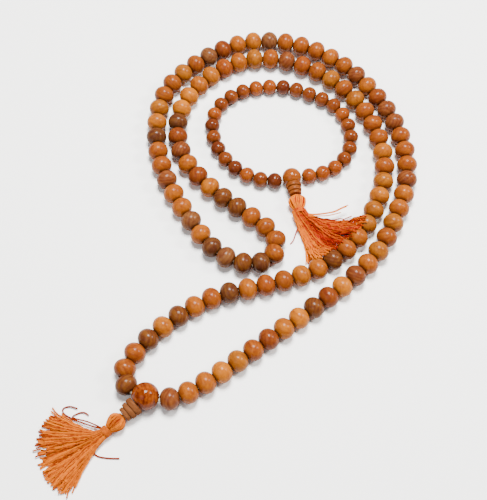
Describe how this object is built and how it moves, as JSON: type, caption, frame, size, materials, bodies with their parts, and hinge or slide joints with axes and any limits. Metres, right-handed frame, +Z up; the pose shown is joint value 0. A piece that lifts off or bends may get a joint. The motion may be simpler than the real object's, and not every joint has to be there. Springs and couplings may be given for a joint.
{
  "type": "mala prayer beads",
  "caption": "Long mala of round turned wooden beads and a smaller wrist mala, each a closed string with a guru bead, ringed stem and orange thread tassel, laid out flat.",
  "frame": {"origin": "under the middle of the whole layout, on the table top", "axes": "+Z up from the table; +Y from the long mala's tassel end towards the far end of its double loop; +X to the right of that, seen from above"},
  "size_m": [0.1714, 0.2438, 0.0173],
  "materials": {
    "long_bead_wood": "turned hardwood in mixed honey, orange and dark brown tones, thin satin varnish",
    "wrist_bead_wood": "turned hardwood, red-orange brown, glossier varnish",
    "guru_wood": "turned hardwood with swirled dark grain, glossy varnish",
    "stem_wood": "turned wood, matt",
    "tassel_cotton": "loose saffron and orange cotton threads",
    "cord_cotton": "twisted off-white cotton"
  },
  "bodies": {
    "long_loop": {"long_beads_10_to_17": "long_bead_wood", "long_beads_18_to_24": "long_bead_wood", "long_beads_25_to_32": "long_bead_wood", "long_beads_33_to_40": "long_bead_wood", "long_beads_41_to_48": "long_bead_wood", "long_beads_57_to_65": "long_bead_wood", "long_beads_66_to_74": "long_bead_wood", "long_beads_75_to_83": "long_bead_wood", "long_beads_84_to_92": "long_bead_wood", "long_beads_93_to_101": "long_bead_wood", "long_cord": "cord_cotton"},
    "pendant_near": {"long_beads_7_to_9": "long_bead_wood", "long_beads_102_to_104": "long_bead_wood"},
    "pendant_middle": {"long_beads_4_to_6": "long_bead_wood", "long_beads_105_to_107": "long_bead_wood"},
    "pendant_far": {"long_beads_1_to_3": "long_bead_wood", "long_bead_108": "long_bead_wood"},
    "hairpin": {"long_beads_49_to_56": "long_bead_wood"},
    "long_guru": {"long_guru_bead": "guru_wood", "long_guru_stem": "stem_wood", "long_tassel_cord": "cord_cotton"},
    "long_tassel": {"long_tassel_head": "tassel_cotton", "long_tassel_binding": "tassel_cotton", "long_tassel_skirt": "tassel_cotton"},
    "wrist_loop": {"wrist_cord_left": "cord_cotton", "wrist_cord_right": "cord_cotton"},
    "wrist_far_side": {"wrist_cord_far": "cord_cotton"},
    "wrist_guru": {"wrist_guru_bead": "guru_wood", "wrist_guru_stem": "stem_wood", "wrist_tassel_cord": "cord_cotton"},
    "wrist_tassel": {"wrist_tassel_head": "tassel_cotton", "wrist_tassel_binding": "tassel_cotton", "wrist_tassel_skirt": "tassel_cotton"},
    "wrist_bead_1_body": {"wrist_bead_1": "wrist_bead_wood"},
    "wrist_bead_2_body": {"wrist_bead_2": "wrist_bead_wood"},
    "wrist_bead_3_body": {"wrist_bead_3": "wrist_bead_wood"},
    "wrist_bead_4_body": {"wrist_bead_4": "wrist_bead_wood"},
    "wrist_bead_5_body": {"wrist_bead_5": "wrist_bead_wood"},
    "wrist_bead_6_body": {"wrist_bead_6": "wrist_bead_wood"},
    "wrist_bead_7_body": {"wrist_bead_7": "wrist_bead_wood"},
    "wrist_bead_8_body": {"wrist_bead_8": "wrist_bead_wood"},
    "wrist_bead_9_body": {"wrist_bead_9": "wrist_bead_wood"},
    "wrist_bead_10_body": {"wrist_bead_10": "wrist_bead_wood"},
    "wrist_bead_11_body": {"wrist_bead_11": "wrist_bead_wood"},
    "wrist_bead_12_body": {"wrist_bead_12": "wrist_bead_wood"},
    "wrist_bead_13_body": {"wrist_bead_13": "wrist_bead_wood"},
    "wrist_bead_14_body": {"wrist_bead_14": "wrist_bead_wood"},
    "wrist_bead_15_body": {"wrist_bead_15": "wrist_bead_wood"},
    "wrist_bead_16_body": {"wrist_bead_16": "wrist_bead_wood"},
    "wrist_bead_17_body": {"wrist_bead_17": "wrist_bead_wood"},
    "wrist_bead_18_body": {"wrist_bead_18": "wrist_bead_wood"},
    "wrist_bead_19_body": {"wrist_bead_19": "wrist_bead_wood"},
    "wrist_bead_20_body": {"wrist_bead_20": "wrist_bead_wood"},
    "wrist_bead_21_body": {"wrist_bead_21": "wrist_bead_wood"},
    "wrist_bead_22_body": {"wrist_bead_22": "wrist_bead_wood"},
    "wrist_bead_23_body": {"wrist_bead_23": "wrist_bead_wood"},
    "wrist_bead_24_body": {"wrist_bead_24": "wrist_bead_wood"},
    "wrist_bead_25_body": {"wrist_bead_25": "wrist_bead_wood"},
    "wrist_bead_26_body": {"wrist_bead_26": "wrist_bead_wood"},
    "wrist_bead_27_body": {"wrist_bead_27": "wrist_bead_wood"}
  },
  "joints": [
    {"name": "pendant_near_fold", "type": "hinge", "parent": "long_loop", "child": "pendant_near", "pos_m": [0.00995, -0.03837, 0.0072], "axis": [-0.6644, 0.7473, 0], "range_deg": [0, 25], "deforming": ["long_cord"]},
    {"name": "pendant_middle_fold", "type": "hinge", "parent": "pendant_near", "child": "pendant_middle", "pos_m": [-0.0114, -0.05214, 0.0072], "axis": [-0.6374, 0.7706, 0], "range_deg": [0, 25], "deforming": ["long_cord"]},
    {"name": "pendant_far_fold", "type": "hinge", "parent": "pendant_middle", "child": "pendant_far", "pos_m": [-0.03115, -0.06839, 0.0072], "axis": [-0.6363, 0.7714, 0], "range_deg": [0, 25], "deforming": ["long_cord"]},
    {"name": "hairpin_fold", "type": "hinge", "parent": "long_loop", "child": "hairpin", "pos_m": [-0.00675, 0.00456, 0.0072], "axis": [-0.7235, -0.6903, 0], "range_deg": [0, 25], "deforming": ["long_cord"]},
    {"name": "long_guru_swing", "type": "hinge", "parent": "pendant_far", "child": "long_guru", "pos_m": [-0.03639, -0.08026, 0.006], "axis": [-0.9718, 0.2358, 0], "range_deg": [0, 60], "deforming": ["long_cord"]},
    {"name": "long_tassel_swing", "type": "hinge", "parent": "long_guru", "child": "long_tassel", "pos_m": [-0.04527, -0.08913, 0.00709], "axis": [-0.7071, 0.7071, 0], "range_deg": [0, 45], "deforming": ["long_tassel_cord"]},
    {"name": "wrist_lift", "type": "slide", "parent": "long_loop", "child": "wrist_loop", "axis": [0, 0, 1], "range_m": [0, 0.06]},
    {"name": "wrist_fold", "type": "hinge", "parent": "wrist_loop", "child": "wrist_far_side", "pos_m": [0.01834, 0.06077, 0.00505], "axis": [0.9979, 0.0645, 0], "range_deg": [0, 30], "deforming": ["wrist_cord_left", "wrist_cord_right", "wrist_cord_far"]},
    {"name": "wrist_guru_swing", "type": "hinge", "parent": "wrist_loop", "child": "wrist_guru", "pos_m": [0.02411, 0.03374, 0.0046], "axis": [-0.9675, -0.2529, 0], "range_deg": [0, 60], "deforming": ["wrist_cord_left", "wrist_cord_right"]},
    {"name": "wrist_tassel_swing", "type": "hinge", "parent": "wrist_guru", "child": "wrist_tassel", "pos_m": [0.02623, 0.02376, 0.00679], "axis": [-0.9781, -0.2079, 0], "range_deg": [0, 45], "deforming": ["wrist_tassel_cord"]},
    {"name": "wrist_bead_1_spin", "type": "hinge", "parent": "wrist_loop", "child": "wrist_bead_1_body", "pos_m": [0.03252, 0.03542, 0.00399], "axis": [0.9708, 0.2366, -0.0401], "continuous": true},
    {"name": "wrist_bead_2_spin", "type": "hinge", "parent": "wrist_loop", "child": "wrist_bead_2_body", "pos_m": [0.03928, 0.03744, 0.00385], "axis": [0.9422, 0.335, 0], "continuous": true},
    {"name": "wrist_bead_3_spin", "type": "hinge", "parent": "wrist_loop", "child": "wrist_bead_3_body", "pos_m": [0.04529, 0.0409, 0.00385], "axis": [0.7628, 0.6467, 0], "continuous": true},
    {"name": "wrist_bead_4_spin", "type": "hinge", "parent": "wrist_loop", "child": "wrist_bead_4_body", "pos_m": [0.04983, 0.04616, 0.00385], "axis": [0.5279, 0.8493, 0], "continuous": true},
    {"name": "wrist_bead_5_spin", "type": "hinge", "parent": "wrist_loop", "child": "wrist_bead_5_body", "pos_m": [0.05259, 0.05257, 0.00385], "axis": [0.2544, 0.9671, 0], "continuous": true},
    {"name": "wrist_bead_6_spin", "type": "hinge", "parent": "wrist_loop", "child": "wrist_bead_6_body", "pos_m": [0.05319, 0.05949, 0.00385], "axis": [-0.0835, 0.9965, 0], "continuous": true},
    {"name": "wrist_bead_7_spin", "type": "hinge", "parent": "wrist_far_side", "child": "wrist_bead_7_body", "pos_m": [0.05186, 0.06638, 0.00385], "axis": [-0.291, 0.9567, 0], "continuous": true},
    {"name": "wrist_bead_8_spin", "type": "hinge", "parent": "wrist_far_side", "child": "wrist_bead_8_body", "pos_m": [0.04906, 0.07282, 0.00385], "axis": [-0.5018, 0.865, 0], "continuous": true},
    {"name": "wrist_bead_9_spin", "type": "hinge", "parent": "wrist_far_side", "child": "wrist_bead_9_body", "pos_m": [0.04462, 0.07815, 0.00385], "axis": [-0.7609, 0.6489, 0], "continuous": true},
    {"name": "wrist_bead_10_spin", "type": "hinge", "parent": "wrist_far_side", "child": "wrist_bead_10_body", "pos_m": [0.0387, 0.08181, 0.00385], "axis": [-0.9197, 0.3927, 0], "continuous": true},
    {"name": "wrist_bead_11_spin", "type": "hinge", "parent": "wrist_far_side", "child": "wrist_bead_11_body", "pos_m": [0.03217, 0.08455, 0.00385], "axis": [-0.9248, 0.3806, 0], "continuous": true},
    {"name": "wrist_bead_12_spin", "type": "hinge", "parent": "wrist_far_side", "child": "wrist_bead_12_body", "pos_m": [0.02552, 0.08694, 0.00385], "axis": [-0.9551, 0.2963, 0], "continuous": true},
    {"name": "wrist_bead_13_spin", "type": "hinge", "parent": "wrist_far_side", "child": "wrist_bead_13_body", "pos_m": [0.01862, 0.08822, 0.00385], "axis": [-0.9979, 0.0654, 0], "continuous": true},
    {"name": "wrist_bead_14_spin", "type": "hinge", "parent": "wrist_far_side", "child": "wrist_bead_14_body", "pos_m": [0.01159, 0.08801, 0.00385], "axis": [-0.9922, -0.1246, 0], "continuous": true},
    {"name": "wrist_bead_15_spin", "type": "hinge", "parent": "wrist_far_side", "child": "wrist_bead_15_body", "pos_m": [0.00468, 0.08662, 0.00385], "axis": [-0.9634, -0.2682, 0], "continuous": true},
    {"name": "wrist_bead_16_spin", "type": "hinge", "parent": "wrist_far_side", "child": "wrist_bead_16_body", "pos_m": [-0.00192, 0.08415, 0.00385], "axis": [-0.9026, -0.4306, 0], "continuous": true},
    {"name": "wrist_bead_17_spin", "type": "hinge", "parent": "wrist_far_side", "child": "wrist_bead_17_body", "pos_m": [-0.00781, 0.08036, 0.00385], "axis": [-0.7649, -0.6441, 0], "continuous": true},
    {"name": "wrist_bead_18_spin", "type": "hinge", "parent": "wrist_far_side", "child": "wrist_bead_18_body", "pos_m": [-0.01259, 0.07523, 0.00385], "axis": [-0.5891, -0.8081, 0], "continuous": true},
    {"name": "wrist_bead_19_spin", "type": "hinge", "parent": "wrist_far_side", "child": "wrist_bead_19_body", "pos_m": [-0.01558, 0.06899, 0.00385], "axis": [-0.2607, -0.9654, 0], "continuous": true},
    {"name": "wrist_bead_20_spin", "type": "hinge", "parent": "wrist_far_side", "child": "wrist_bead_20_body", "pos_m": [-0.01636, 0.06207, 0.00385], "axis": [0.0394, -0.9992, 0], "continuous": true},
    {"name": "wrist_bead_21_spin", "type": "hinge", "parent": "wrist_loop", "child": "wrist_bead_21_body", "pos_m": [-0.01527, 0.05514, 0.00385], "axis": [0.2682, -0.9634, 0], "continuous": true},
    {"name": "wrist_bead_22_spin", "type": "hinge", "parent": "wrist_loop", "child": "wrist_bead_22_body", "pos_m": [-0.01267, 0.04861, 0.00385], "axis": [0.4684, -0.8835, 0], "continuous": true},
    {"name": "wrist_bead_23_spin", "type": "hinge", "parent": "wrist_loop", "child": "wrist_bead_23_body", "pos_m": [-0.00877, 0.04277, 0.00385], "axis": [0.6367, -0.7711, 0], "continuous": true},
    {"name": "wrist_bead_24_spin", "type": "hinge", "parent": "wrist_loop", "child": "wrist_bead_24_body", "pos_m": [-0.00375, 0.03785, 0.00385], "axis": [0.7847, -0.6198, 0], "continuous": true},
    {"name": "wrist_bead_25_spin", "type": "hinge", "parent": "wrist_loop", "child": "wrist_bead_25_body", "pos_m": [0.00224, 0.03421, 0.00385], "axis": [0.911, -0.4123, 0], "continuous": true},
    {"name": "wrist_bead_26_spin", "type": "hinge", "parent": "wrist_loop", "child": "wrist_bead_26_body", "pos_m": [0.00892, 0.03206, 0.00385], "axis": [0.9802, -0.198, 0], "continuous": true},
    {"name": "wrist_bead_27_spin", "type": "hinge", "parent": "wrist_loop", "child": "wrist_bead_27_body", "pos_m": [0.01586, 0.0317, 0.00402], "axis": [0.994, 0.0974, 0.0497], "continuous": true}
  ]
}
